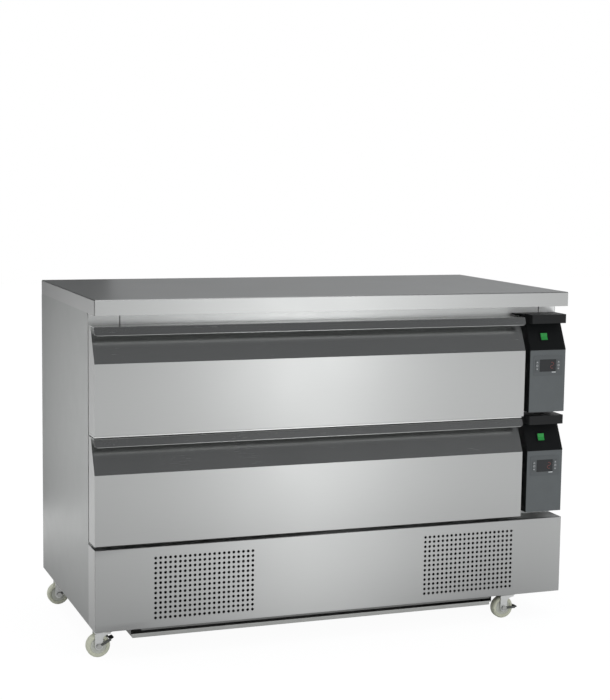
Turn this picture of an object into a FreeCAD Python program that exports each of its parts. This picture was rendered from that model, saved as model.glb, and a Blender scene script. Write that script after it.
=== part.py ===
import FreeCAD, Part
import os
import re
import Sketcher

# Refrigerated counter with two wide drawers, on four braked swivel casters.
# Row frame: X to the right, Y to the back, Z up, origin on the floor under the middle of the whole object.
# Every outline below is written from the body's own corner: across from its left side, back from the
# plane of the drawer fronts, and up from the underside of the body.

# Driving sizes, in millimetres and degrees
sizes = {
    "body_width": 1365,
    "body_depth": 700,
    "body_height": 867,
    "worktop_thick": 40,
    "worktop_edge": 2,
    "front_depth": 75,
    "skin": 1.2,
    "side_wall": 45,
    "back_wall": 45,
    "floor_thick": 45,
    "panel_corner": 12,
    # Front frame that the drawers close on
    "frame_depth": 30,
    "left_jamb": 83,
    "right_jamb": 53,
    "seam": 2.5,
    "post_width": 122,
    "opening_low": 25,
    "opening_high": 27.5,
    # Drawer fronts
    "front_base": 227.5,
    "front_pitch": 288.5,
    "front_height": 281,
    "front_width": 1233,
    "bend_height": 187,
    "slant_run": 46,
    "lip_height": 22,
    "lip_corner": 8,
    "hem": 6,
    "hem_end": 12,
    "front_sheet": 1.2,
    "gasket_thick": 8,
    "gasket_width": 16,
    "gasket_overlap": 13,
    "dart_width": 4,
    "dart_depth": 6,
    "dart_play": 0.2,
    # Telescopic runners and the bin that they carry
    "runner_sheet": 1.5,
    "runner_tall": 46,
    "runner_wide": 11.5,
    "runner_play": 0.3,
    "runner_inset": 3,
    "runner_rise": 60,
    "runner_start": 2,
    "runner_length": 538,
    "drawer_travel": 520,
    "bin_floor_gap": 12,
    "bin_top_gap": 27,
    "bin_length": 550,
    "bin_sheet": 1.2,
    "bin_rim": 9,
    "bin_round": 14,
    "bracket_width": 34,
    # Duct panel with the evaporator and its fan behind it
    "duct_sheet": 2,
    "duct_port": 128,
    "return_slot": 8,
    "return_pitch": 20,
    "return_count": 3,
    "return_side": 62,
    "return_low": 46,
    "return_top": 23,
    "coil_thick": 62,
    "coil_length": 300,
    "coil_end_gap": 12,
    "fin_count": 12,
    # Control modules
    "module_width": 112,
    "module_side_gap": 3,
    "module_base_lift": 10,
    "module_cap_lift": 6.5,
    "module_cap": 25,
    "module_wall": 3,
    "module_wing": 24,
    "wing_thick": 4,
    "wing_depth": 40,
    "wing_cut": 14,
    "cap_round": 6,
    "faceplate_thick": 2,
    "faceplate_set": 1.5,
    "bezel_width": 92,
    "bezel_tall": 58,
    "bezel_round": 3,
    "bezel_drop": 44,
    "window_width": 52,
    "window_tall": 35,
    "window_thick": 1.2,
    "window_set": 0.4,
    "key_width": 11,
    "key_tall": 31,
    "key_thick": 3,
    "key_play": 0.3,
    "key_travel": 1,
    "key_gap": 2.5,
    "key_proud": 0.8,
    "case_width": 84,
    "case_tall": 46,
    "case_depth": 42,
    "case_play": 0.4,
    "switch_width": 28,
    "switch_tall": 27,
    "switch_rise": 37,
    "switch_side": 50,
    "switch_rim": 2.2,
    "switch_proud": 2,
    "switch_depth": 22,
    "switch_block": 24,
    "rocker_half": 10,
    "rocker_deep": 7,
    "rocker_back": 3,
    "rocker_pivot": 6,
    "rocker_tilt": 7,
    "rocker_play": 0.4,
    # Plinth, base and rear cover
    "plinth_height": 218,
    "plinth_flange": 15,
    "grille_columns": 11,
    "grille_rows": 7,
    "grille_pitch": 26.7,
    "grille_hole": 17,
    "grille_left": 296,
    "grille_right": 294,
    "grille_mid": 107,
    "base_sheet": 1.5,
    "base_flange": 20,
    "rail_left": 135,
    "rail_right": 200,
    "rail_front": 45,
    "rail_deep": 35,
    "rail_drop": 18,
    "tray_left": 110,
    "tray_right": 203,
    "tray_front": 40,
    "tray_deep": 400,
    "tray_low": 35,
    "tray_wall": 11,
    "tray_rim": 6,
    "tray_sheet": 1.2,
    "louvre_length": 300,
    "louvre_tall": 6,
    "louvre_pitch": 15,
    "louvre_rows": 8,
    "louvre_low": 45,
    "louvre_side": 160,
    "gland_dia": 24,
    "gland_side": 75,
    "gland_rise": 60,
    # Condensing units in the plinth
    "condenser_wide": 230,
    "condenser_thick": 40,
    "condenser_tall": 178,
    "condenser_foot": 8,
    "condenser_front": 86,
    "shroud_depth": 26,
    "shroud_plate": 1.5,
    "fan_blades": 5,
    "fan_dia": 150,
    "fan_tip_gap": 5,
    "hub_dia": 40,
    "hub_sides": 10,
    "hub_length": 18,
    "blade_thick": 2,
    "blade_chord": 34,
    "blade_pitch": 30,
    "shaft_dia": 6,
    "shaft_play": 0.25,
    "motor_dia": 50,
    "motor_length": 38,
    "motor_gap": 1,
    "arm_wide": 10,
    "small_fan_dia": 118,
    "small_motor_dia": 40,
    "compressor_dia": 150,
    "compressor_tall": 165,
    "compressor_back": 420,
    "compressor_shoulder": 41,
    "compressor_crown": 105,
    "compressor_foot": 200,
    "compressor_foot_deep": 116,
    "compressor_foot_end": 20,
    "compressor_lift": 14,
    # Casters
    "caster_height": 78,
    "caster_inset": 40,
    "caster_right": 138,
    "caster_front": 48,
    "caster_back": 130,
    "plate_wide": 60,
    "plate_thick": 3,
    "race_dia": 42,
    "race_tall": 7,
    "race_sides": 24,
    "kingpin_dia": 10,
    "kingpin_head": 16,
    "kingpin_head_tall": 3,
    "swivel_play": 0.3,
    "trail": 22,
    "wheel_dia": 63,
    "wheel_sides": 40,
    "bore_sides": 12,
    "wheel_width": 24,
    "axle_dia": 8,
    "axle_play": 0.3,
    "fork_sheet": 2.5,
    "fork_side_gap": 1.2,
    "fork_eye": 18,
    "fork_eye_cut": 5.4,
    "fork_top": 48,
    "crown_back": 10,
    "bolt_head": 12,
    "bolt_head_tall": 3,
    "brake_arm": 12,
    "brake_arm_cut": 3,
    "brake_reach": 36,
    "brake_rise": 28,
    "brake_tab": 10,
    "brake_tab_thick": 4,
    "brake_sheet": 1.5,
    "brake_throw": 28,
}

# Places that follow from the driving sizes
places = {
    "wheel_overhang": "wheel_dia / 2 + trail - caster_inset",
    "left_side": "(wheel_overhang - body_width) / 2",
    "front_side": "-body_depth / 2",
    "frame_back": "front_depth + frame_depth",
    "inner_right": "body_width - side_wall",
    "inner_back": "body_depth - back_wall",
    "worktop_low": "body_height - worktop_thick",
    "floor_low": "front_base + opening_low - floor_thick",
    "opening_left": "left_jamb",
    "rail_end": "body_width - right_jamb - seam",
    "opening_right": "body_width - right_jamb - post_width",
    "slant_rise": "front_height - front_sheet - bend_height",
    "slant_slope": "slant_run / slant_rise",
    "slant_angle": "atan(slant_slope)",
    "front_back": "front_depth - gasket_thick",
    "duct_face": "opening_right - runner_inset",
    "left_runner": "opening_left + runner_inset",
    "half_runner": "runner_tall / 2",
    "runner_front": "frame_back + runner_start",
    "carriage_web": "runner_wide + runner_play",
    "carriage_out": "carriage_web + runner_sheet",
    "module_left": "body_width - module_side_gap - module_width",
    "tray_end": "body_width - tray_right",
    "fork_low": "crown_top + fork_sheet",
    "wheel_down": "caster_height - wheel_dia / 2",
    "fork_inner": "wheel_width / 2 + fork_side_gap",
    "fork_outer": "fork_inner + fork_sheet",
    "leg_top": "fork_low + fork_sheet",
    "eye_half": "fork_eye / 2",
    "eye_step": "eye_half - fork_eye_cut",
    "pin_head": "fork_low + swivel_play",
    "axle_half": "fork_outer + brake_sheet + 2 * swivel_play",
    "brake_out": "fork_outer + swivel_play + brake_sheet",
    "crown_top": "plate_thick + race_tall + swivel_play",
    "fan_mid": "condenser_foot + condenser_tall / 2",
    "shroud_front": "condenser_front + condenser_thick",
    "plate_back": "shroud_front + shroud_depth",
    "port_radius": "fan_dia / 2 + fan_tip_gap",
    "arm_half": "arm_wide / 2",
    "column_mid": "(frame_back + inner_back) / 2",
    "duct_reach": "duct_port / 2 + arm_wide",
    "ledge": "tray_low - tray_wall",
    "lead_half": "(gasket_width - dart_width) / 2",
    "lag_half": "(gasket_width + dart_width) / 2",
    "fan_front": "plate_back - hub_length",
    "motor_front": "plate_back + motor_gap",
}

words = re.compile(r"[a-z][a-z_]+")

doc = FreeCAD.newDocument("DrawerCounter")
sheet = doc.addObject("Spreadsheet::Sheet", "Sizes")
for row, (name, number) in enumerate(sizes.items(), 1):
    sheet.set("A%d" % row, str(number))
    sheet.setAlias("A%d" % row, name)
doc.recompute()

finished = []


def bind(text):
    # A place is written out, and a size is pointed at its cell.
    def swap(found):
        word = found.group(0)
        if word in places:
            return "(" + bind(places[word]) + ")"
        if word in sizes:
            return "Sizes." + word
        return word

    return words.sub(swap, str(text))


def put(thing, across, back, up):
    for letter, start, shift in zip("xyz", ("left_side", "front_side", "caster_height"), (across, back, up)):
        thing.setExpression("Placement.Base." + letter, bind("%s + (%s)" % (start, shift)))


def finish(node, thing):
    thing.Label = node
    finished.append(thing)
    return thing


def box(low, high):
    made = doc.addObject("Part::Box", "Block")
    for side, start, end in zip(("Length", "Width", "Height"), low, high):
        made.setExpression(side, bind("(%s) - (%s)" % (end, start)))
    put(made, *low)
    return made


def rod(start, radius, length, along="z"):
    made = doc.addObject("Part::Cylinder", "Rod")
    made.setExpression("Radius", bind(radius))
    made.setExpression("Height", bind(length))
    turns = {
        "x": FreeCAD.Rotation(FreeCAD.Vector(0, 1, 0), 90),
        "y": FreeCAD.Rotation(FreeCAD.Vector(1, 0, 0), -90),
        "z": FreeCAD.Rotation(),
    }
    made.Placement = FreeCAD.Placement(FreeCAD.Vector(), turns[along])
    put(made, *start)
    return made


def polygon(across, up, flats, sides=6):
    # A regular outline around a middle point, with a flat side to the right and, on a multiple of four, below.
    corners = []
    reach = "(%s) / 2 / cos(180 / %d)" % (flats, sides)
    for turn in range(sides):
        angle = "%d * 180 / %d" % (2 * turn + 1, sides)
        corner_across = "%s + %s * cos(%s)" % (across, reach, angle)
        corner_up = "%s + %s * sin(%s)" % (up, reach, angle)
        corners.append((corner_across, corner_up))
    return corners


def fuse(*things):
    made = doc.addObject("Part::MultiFuse", "Joined")
    made.Shapes = list(things)
    made.Refine = True
    return made


def cut(base, *tools):
    made = doc.addObject("Part::Cut", "Cut")
    made.Base = base
    made.Tool = tools[0] if len(tools) == 1 else fuse(*tools)
    return made


def group(*things):
    made = doc.addObject("Part::Compound", "Group")
    made.Links = list(things)
    return made


def new_body(at=("0", "0", "0"), turn=None):
    made = doc.addObject("PartDesign::Body", "Piece")
    if turn:
        made.Placement = FreeCAD.Placement(FreeCAD.Vector(), turn)
    put(made, *at)
    return made


roles = {"side": "YZ_Plane", "front": "XZ_Plane", "top": "XY_Plane"}


def draw(body, plane, loops, offset="0"):
    # Each corner of a loop is held at its own two distances from the plane's origin.
    drawing = body.newObject("Sketcher::SketchObject", "Outline")
    role = roles[plane]
    support = [feature for feature in body.Origin.OriginFeatures if feature.Role == role][0]
    drawing.AttachmentSupport = [(support, "")]
    drawing.MapMode = "FlatFace"
    sign = "-" if plane == "front" else ""
    drawing.setExpression("AttachmentOffset.Base.z", bind("%s(%s)" % (sign, offset)))
    for loop in loops:
        first = drawing.GeometryCount
        if loop[0] == "circle":
            drawing.addGeometry(Part.Circle(FreeCAD.Vector(), FreeCAD.Vector(0, 0, 1), 1), False)
            holds = [("DistanceX", loop[1], 3), ("DistanceY", loop[2], 3)]
            for kind, text, point in holds:
                held = drawing.addConstraint(Sketcher.Constraint(kind, -1, 1, first, point, 1.0))
                drawing.setExpression("Constraints[%d]" % held, bind(text))
            held = drawing.addConstraint(Sketcher.Constraint("Radius", first, 1.0))
            drawing.setExpression("Constraints[%d]" % held, bind(loop[3]))
            continue
        count = len(loop)
        for i in range(count):
            start = FreeCAD.Vector(i, 1 + i * i, 0)
            end = FreeCAD.Vector(i + 1, i * 3, 0)
            drawing.addGeometry(Part.LineSegment(start, end), False)
        for i in range(count):
            follows = first + (i + 1) % count
            drawing.addConstraint(Sketcher.Constraint("Coincident", first + i, 2, follows, 1))
        for i, corner in enumerate(loop):
            for kind, text in zip(("DistanceX", "DistanceY"), corner):
                held = drawing.addConstraint(Sketcher.Constraint(kind, -1, 1, first + i, 1, 1.0))
                drawing.setExpression("Constraints[%d]" % held, bind(text))
    return drawing


def pad(body, plane, loops, length, offset="0"):
    # A pad starts at its offset and grows to the right, to the back or up.
    made = body.newObject("PartDesign::Pad", "Pad")
    made.Profile = draw(body, plane, loops, offset)
    made.setExpression("Length", bind(length))
    made.Reversed = plane == "front"
    return made


def pocket(body, plane, loops, length, offset="0"):
    # A pocket starts at its offset and cuts to the right, to the back or up.
    made = body.newObject("PartDesign::Pocket", "Pocket")
    made.Profile = draw(body, plane, loops, offset)
    made.setExpression("Length", bind(length))
    made.Reversed = plane != "front"
    doc.recompute()
    if made.Shape.Volume >= made.BaseFeature.Shape.Volume:
        raise ValueError("a pocket cuts nothing")
    return made


def revolve(body, plane, loop, axis):
    made = body.newObject("PartDesign::Revolution", "Turned")
    drawing = draw(body, plane, [loop])
    made.Profile = drawing
    made.ReferenceAxis = (drawing, [axis])
    made.Angle = 360
    return made


def repeat(body, feature, *runs):
    # A run is an axis of the body, the distance to the last copy and the number of copies.
    steps = []
    whole = body.newObject("PartDesign::MultiTransform", "Repeat")
    whole.Originals = [feature]
    for role, length, count in runs:
        step = body.newObject("PartDesign::LinearPattern", "Row")
        axis = [one for one in body.Origin.OriginFeatures if one.Role == role][0]
        step.Direction = (axis, [""])
        step.setExpression("Length", bind(length))
        step.Occurrences = count
        steps.append(step)
    whole.Transformations = steps
    body.Tip = whole
    return whole


def soften(body, radius, chosen, kind="PartDesign::Fillet", size="Radius"):
    # Rounds the edges of the body so far that the test picks.
    doc.recompute()
    last = body.Tip
    frame = last.Shape.BoundBox
    names = ["Edge%d" % i for i, edge in enumerate(last.Shape.Edges, 1) if chosen(edge.BoundBox, frame)]
    made = body.newObject(kind, "Edges")
    made.Base = (last, names)
    made.setExpression(size, bind(radius))
    return made


def bevel(body, width, chosen):
    soften(body, width, chosen, "PartDesign::Chamfer", "Size")


def near(one, other):
    return abs(one - other) < 0.01


def upright(edge, frame):
    return edge.ZLength > 0.01 and edge.XLength < 0.01 and edge.YLength < 0.01


def lengthwise(edge, frame):
    return edge.YLength > 0.01 and edge.XLength < 0.01 and edge.ZLength < 0.01


def rect(left, low, right, high):
    return [(left, low), (right, low), (right, high), (left, high)]


# Cabinet shell
worktop = new_body()
pad(worktop, "top", [rect("0", "0", "body_width", "body_depth")], "worktop_thick", "worktop_low")
bevel(worktop, "worktop_edge", lambda edge, frame: upright(edge, frame) or near(edge.ZMin, frame.ZMax))
finish("worktop", worktop)


def side_panel(node, skin_start, core_start):
    # An outer sheet down to the floor of the body, backed by foam above the machine space.
    panel = new_body()
    sheet_outline = rect("front_depth", "0", "body_depth", "worktop_low")
    core_outline = rect("frame_back", "floor_low", "body_depth", "worktop_low")
    pad(panel, "side", [sheet_outline], "skin", skin_start)
    pad(panel, "side", [core_outline], "side_wall - skin", core_start)

    def top_front(edge, frame):
        return edge.XLength > 0.01 and near(edge.YMax, frame.YMin) and near(edge.ZMin, frame.ZMax)

    soften(panel, "panel_corner", top_front)
    return finish(node, panel)


side_panel("left_side_panel", "0", "skin")
side_panel("right_side_panel", "body_width - skin", "body_width - side_wall")
finish("back_panel", box(("side_wall", "inner_back", "floor_low"), ("inner_right", "body_depth", "worktop_low")))

levels = {
    "lower": "front_base",
    "upper": "front_base + front_pitch",
}


def opening_low(level):
    return "%s + opening_low" % levels[level]


def opening_high(level):
    return "%s + front_height - opening_high" % levels[level]


decks = {
    "cabinet_floor": ("floor_low", opening_low("lower")),
    "drawer_divider": (opening_high("lower"), opening_low("upper")),
    "ceiling_panel": (opening_high("upper"), "worktop_low"),
}
for node, (low, high) in decks.items():
    finish(node, box(("side_wall", "frame_back", low), ("inner_right", "inner_back", high)))

# Front frame: two jambs, three rails between the seams, and a post behind each control module
frame_parts = [
    box(("skin", "front_depth", "floor_low"), ("left_jamb", "frame_back", "worktop_low")),
    box(("body_width - right_jamb", "front_depth", "floor_low"), ("body_width - skin", "frame_back", "worktop_low")),
]
for low, high in decks.values():
    frame_parts.append(box(("left_jamb + seam", "front_depth", low), ("rail_end", "frame_back", high)))
for level in levels:
    low = ("opening_right", "front_depth", opening_low(level))
    high = ("rail_end", "frame_back", opening_high(level))
    frame_parts.append(box(low, high))
finish("front_frame", group(*frame_parts))


# Drawers
def drawer_skin(level):
    # One folded sheet: bottom, flat face, leaning band, top with the handle lip, and two closed ends.
    base = levels[level]
    top = "%s + front_height" % base
    back = "front_back"
    slope_over = "front_sheet * sqrt(1 + slant_slope * slant_slope)"
    outline = [
        (back, base),
        ("0", base),
        ("0", "%s + bend_height" % base),
        ("slant_run", "%s - front_sheet" % top),
        ("front_sheet", "%s - front_sheet" % top),
        ("front_sheet", "%s - lip_height" % top),
        ("0", "%s - lip_height" % top),
        ("0", top),
        (back, top),
        (back, "%s - front_sheet" % top),
        ("slant_run + %s" % slope_over, "%s - front_sheet" % top),
        ("front_sheet", "%s + bend_height + (front_sheet - %s) / slant_slope" % (base, slope_over)),
        ("front_sheet", "%s + front_sheet" % base),
        (back, "%s + front_sheet" % base),
    ]
    ends = [
        (back, base),
        ("0", base),
        ("0", "%s + bend_height" % base),
        ("slant_run", "%s - front_sheet" % top),
        (back, "%s - front_sheet" % top),
    ]
    hem = rect("0", "%s - lip_height" % top, "hem", "%s - lip_height + front_sheet" % top)
    made = new_body()
    pad(made, "side", [outline], "front_width")
    pad(made, "side", [ends], "front_sheet")
    pad(made, "side", [ends], "front_sheet", "front_width - front_sheet")
    pad(made, "side", [hem], "front_width - 2 * hem_end", "hem_end")

    def lip_corner(edge, frame):
        at_end = near(edge.XMin, frame.XMin) or near(edge.XMin, frame.XMax)
        at_lip = near(edge.YMin, frame.YMin) and near(edge.ZMin, frame.ZMax - sizes["lip_height"])
        return lengthwise(edge, frame) and at_end and at_lip

    soften(made, "lip_corner", lip_corner)
    return finish("drawer_skin_" + level, made)


def gasket_frame(level, inset):
    # The seal's outline around the opening, drawn in by the inset on all sides.
    left = "opening_left - gasket_overlap + (%s)" % inset
    right = "opening_right + gasket_overlap - (%s)" % inset
    low = "%s - gasket_overlap + (%s)" % (opening_low(level), inset)
    high = "%s + gasket_overlap - (%s)" % (opening_high(level), inset)
    return rect(left, low, right, high)


def drawer_liner(level):
    # Foam block that fills the folded sheet, with the groove that the seal is pushed into.
    base = levels[level]
    top = "%s + front_height - front_sheet" % base
    slope_over = "front_sheet * sqrt(1 + slant_slope * slant_slope)"
    outline = [
        ("front_back", "%s + front_sheet" % base),
        ("front_sheet", "%s + front_sheet" % base),
        ("front_sheet", "%s + bend_height + (front_sheet - %s) / slant_slope" % (base, slope_over)),
        ("slant_run + %s" % slope_over, top),
        ("front_back", top),
    ]
    made = new_body()
    pad(made, "side", [outline], "front_width - 2 * front_sheet", "front_sheet")
    groove = [gasket_frame(level, "lead_half - dart_play"), gasket_frame(level, "lag_half + dart_play")]
    pocket(made, "front", groove, "dart_depth + dart_play", "front_back - dart_depth - dart_play")
    return finish("drawer_liner_" + level, made)


def drawer_gasket(level):
    made = new_body()
    ring = [gasket_frame(level, "0"), gasket_frame(level, "gasket_width")]
    dart = [gasket_frame(level, "lead_half"), gasket_frame(level, "lag_half")]
    pad(made, "front", ring, "gasket_thick - runner_play", "front_back")
    pad(made, "front", dart, "dart_depth + gasket_thick / 2", "front_back - dart_depth")
    return finish("drawer_gasket_" + level, made)


def drawer_bin(level):
    # Open-topped pan whose turned-out rim rests on the carriage rails.
    floor = "%s + bin_floor_gap" % opening_low(level)
    rim = "%s - bin_top_gap" % opening_high(level)
    left = "left_runner + carriage_out + runner_play"
    right = "duct_face - carriage_out - runner_play"
    front = "front_depth"
    back = "front_depth + bin_length"
    made = new_body()
    pad(made, "top", [rect(left, front, right, back)], "%s - (%s)" % (rim, floor), floor)
    soften(made, "bin_round", upright)
    rim_outline = rect(
        left + " - bin_rim",
        front + " - gasket_thick + runner_play",
        right + " + bin_rim",
        back + " + bin_rim",
    )
    pad(made, "top", [rim_outline], "bin_sheet", rim + " - bin_sheet")
    inside = rect(left + " + bin_sheet", front + " + bin_sheet", right + " - bin_sheet", back + " - bin_sheet")
    pocket(made, "top", [inside], "%s - (%s)" % (rim, floor), floor + " + bin_sheet")
    return finish("drawer_bin_" + level, made)


def mirrored(outline):
    # The right-hand runner is the left-hand one seen from the duct panel.
    return [("duct_face - (%s)" % across, up) for across, up in outline]


def placed(outline):
    return [("left_runner + (%s)" % across, up) for across, up in outline]


def runner_level(level):
    return "%s + runner_rise" % opening_low(level)


def channel(level, inset, start, end):
    # A lying channel, its web towards the cabinet wall and its flanges towards the drawer.
    mid = runner_level(level)
    low = "%s - half_runner + %s" % (mid, inset)
    high = "%s + half_runner - %s" % (mid, inset)
    return [
        (start, low),
        (end, low),
        (end, low + " + runner_sheet"),
        (start + " + runner_sheet", low + " + runner_sheet"),
        (start + " + runner_sheet", high + " - runner_sheet"),
        (end, high + " - runner_sheet"),
        (end, high),
        (start, high),
    ]


def fixed_runner(level, side):
    made = new_body()
    low = "%s - half_runner" % runner_level(level)
    high = "%s + half_runner" % runner_level(level)
    section = channel(level, "0", "0", "runner_wide")
    if side == "left":
        # The left one stands off the cabinet wall on its own flanges.
        wall = "side_wall - left_runner"
        section[0] = ("0", low + " + runner_sheet")
        section[7] = ("0", high + " - runner_sheet")
        section = [(wall, low)] + section[1:7] + [(wall, high)]
        section += [(wall, high + " - runner_sheet"), ("0", high + " - runner_sheet")]
        section += [("0", low + " + runner_sheet"), (wall, low + " + runner_sheet")]
        section = placed(section)
    else:
        section = mirrored(section)
    pad(made, "front", [section], "runner_length", "runner_front")
    return made


def middle_runner(level, side):
    made = new_body()
    inset = "(runner_sheet + runner_play)"
    section = channel(level, inset, inset, "runner_wide")
    section = placed(section) if side == "left" else mirrored(section)
    pad(made, "front", [section], "runner_length", "runner_front")
    return made


def carriage_rail(level, side):
    # Inner runner member: web beside the bin, two flanges in the middle runner, a ledge under the rim.
    mid = runner_level(level)
    inset = "2 * (runner_sheet + runner_play)"
    low = "%s - half_runner + %s" % (mid, inset)
    high = "%s + half_runner - %s" % (mid, inset)
    ledge = "%s - bin_top_gap - bin_sheet" % opening_high(level)
    web = "carriage_web"
    out = "carriage_out"
    start = "%s + runner_sheet" % inset
    made = new_body()
    section = [
        (start, low),
        (out, low),
        (out, ledge),
        (start, ledge),
        (start, ledge + " - runner_sheet"),
        (web, ledge + " - runner_sheet"),
        (web, high),
        (start, high),
        (start, high + " - runner_sheet"),
        (web, high + " - runner_sheet"),
        (web, low + " + runner_sheet"),
        (start, low + " + runner_sheet"),
    ]
    upright_web = [(web, low), (out, low), (out, ledge), (web, ledge)]
    foot = [(web, low), (web + " + bracket_width", low), (web + " + bracket_width", ledge), (web, ledge)]
    turn = placed if side == "left" else mirrored
    pad(made, "front", [turn(section)], "runner_length", "runner_front")
    pad(made, "front", [turn(upright_web)], "runner_front - front_back", "front_back")
    pad(made, "front", [turn(foot)], "runner_sheet", "front_back")
    return made


for level in levels:
    drawer_skin(level)
    drawer_liner(level)
    drawer_gasket(level)
    drawer_bin(level)
    finish("drawer_carriage_" + level, group(carriage_rail(level, "left"), carriage_rail(level, "right")))
    finish("runner_middle_" + level, group(middle_runner(level, "left"), middle_runner(level, "right")))
fixed = [fixed_runner(level, side) for level in levels for side in ("left", "right")]
finish("fixed_runners", group(*fixed))


# Fans
def fan(node, at, turn, diameter):
    # A flat-sided hub and five blades set at an angle, turning about the body's own Y axis.
    made = new_body(at, turn)
    hub = polygon("0", "0", "hub_dia", int(sizes["hub_sides"]))
    bore = ("circle", "0", "0", "shaft_dia / 2 + shaft_play")
    pad(made, "front", [hub, bore], "hub_length")
    corners = []
    for along, over in (("-", "-"), ("", "-"), ("", ""), ("-", "")):
        run = along + "blade_chord / 2"
        rise = over + "blade_thick / 2"
        x = "(%s) * cos(blade_pitch) - (%s) * sin(blade_pitch)" % (run, rise)
        y = "(%s) * sin(blade_pitch) + (%s) * cos(blade_pitch)" % (run, rise)
        corners.append((x, "hub_length / 2 + " + y))
    root = "hub_dia / 2 - blade_thick"
    blade = pad(made, "top", [corners], "%s / 2 - (%s)" % (diameter, root), root)
    doc.recompute()
    ring = made.newObject("PartDesign::PolarPattern", "Blades")
    ring.Originals = [blade]
    ring.Axis = ([one for one in made.Origin.OriginFeatures if one.Role == "Y_Axis"][0], [""])
    ring.Angle = 360
    ring.Occurrences = int(sizes["fan_blades"])
    made.Tip = ring
    return finish(node, made)


def compressor(mid):
    # A drawn can with a bevelled crown, on a bridge-shaped foot plate.
    shell = new_body((mid, "compressor_back", "0"))
    radius = "compressor_dia / 2"
    lift = "compressor_lift"
    top = "compressor_lift + compressor_tall"
    dome = [
        ("0", lift),
        (radius, lift),
        (radius, top + " - compressor_shoulder"),
        ("compressor_crown / 2", top),
        ("0", top),
    ]
    revolve(shell, "front", dome, "V_Axis")
    half = "compressor_foot / 2"
    inner = "compressor_foot / 2 - compressor_foot_end"
    over = "compressor_lift + shroud_plate"
    foot = [
        ("-" + half, over),
        ("-" + half, "base_sheet"),
        ("-(%s)" % inner, "base_sheet"),
        ("-(%s)" % inner, lift),
        (inner, lift),
        (inner, "base_sheet"),
        (half, "base_sheet"),
        (half, over),
    ]
    pad(shell, "front", [foot], "compressor_foot_deep", "-compressor_foot_deep / 2")
    return shell


units = {"left": "grille_left", "right": "body_width - grille_right"}


def fin_block(low, high, fins):
    # A coil seen as its stack of fins: slots between them, closed along the far side.
    left, front, bottom = low
    right, back, top = high
    step = "((%s) - (%s)) / (2 * %s - 1)" % (right, left, fins)
    count = int(sizes[fins])
    outline = [(right, back), (left, back)]
    for i in range(count):
        outline.append(("%s + %d * %s" % (left, 2 * i, step), front))
        outline.append(("%s + %d * %s" % (left, 2 * i + 1, step), front))
        if i < count - 1:
            outline.append(("%s + %d * %s" % (left, 2 * i + 1, step), "%s - coil_end_gap" % back))
            outline.append(("%s + %d * %s" % (left, 2 * i + 2, step), "%s - coil_end_gap" % back))
    made = new_body()
    pad(made, "top", [outline], "(%s) - (%s)" % (top, bottom), bottom)
    return made


coils = []
shrouds = []
compressors = []
for side, mid in units.items():
    left = "%s - condenser_wide / 2" % mid
    right = "%s + condenser_wide / 2" % mid
    foot = "condenser_foot"
    top = "condenser_foot + condenser_tall"
    coil = fin_block((left, "condenser_front", foot), (right, "shroud_front", top), "fin_count")
    feet = box((left, "condenser_front", "base_sheet"), (right, "shroud_front", foot))
    coils.append(fuse(coil, feet))
    shroud = box((left, "shroud_front", foot), (right, "plate_back", top))
    hollow = box(
        (left + " + shroud_plate", "shroud_front", foot + " + shroud_plate"),
        (right + " - shroud_plate", "plate_back - shroud_plate", top + " - shroud_plate"),
    )
    port = rod((mid, "shroud_front", "fan_mid"), "port_radius", "shroud_depth", "y")
    bar_low = (left, "motor_front", "fan_mid - arm_half")
    bar_high = (right, "motor_front + shroud_plate", "fan_mid + arm_half")
    motor = rod((mid, "motor_front", "fan_mid"), "motor_dia / 2", "motor_length", "y")
    shaft = rod((mid, "fan_front", "fan_mid"), "shaft_dia / 2", "motor_front - fan_front + motor_gap", "y")
    ends = []
    for edge in (left, right + " - arm_wide"):
        low_end = (edge, "plate_back - shroud_plate", "fan_mid - arm_half")
        high_end = (edge + " + arm_wide", "motor_front + shroud_plate", "fan_mid + arm_half")
        ends.append(box(low_end, high_end))
    shrouds.append(fuse(cut(shroud, hollow, port), box(bar_low, bar_high), motor, shaft, *ends))
    fan("condenser_fan_" + side, (mid, "fan_front", "fan_mid"), None, "fan_dia")
    compressors.append(compressor(mid))
finish("condenser_coils", group(*coils))
finish("fan_shrouds", group(*shrouds))
finish("compressors", group(*compressors))

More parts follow.
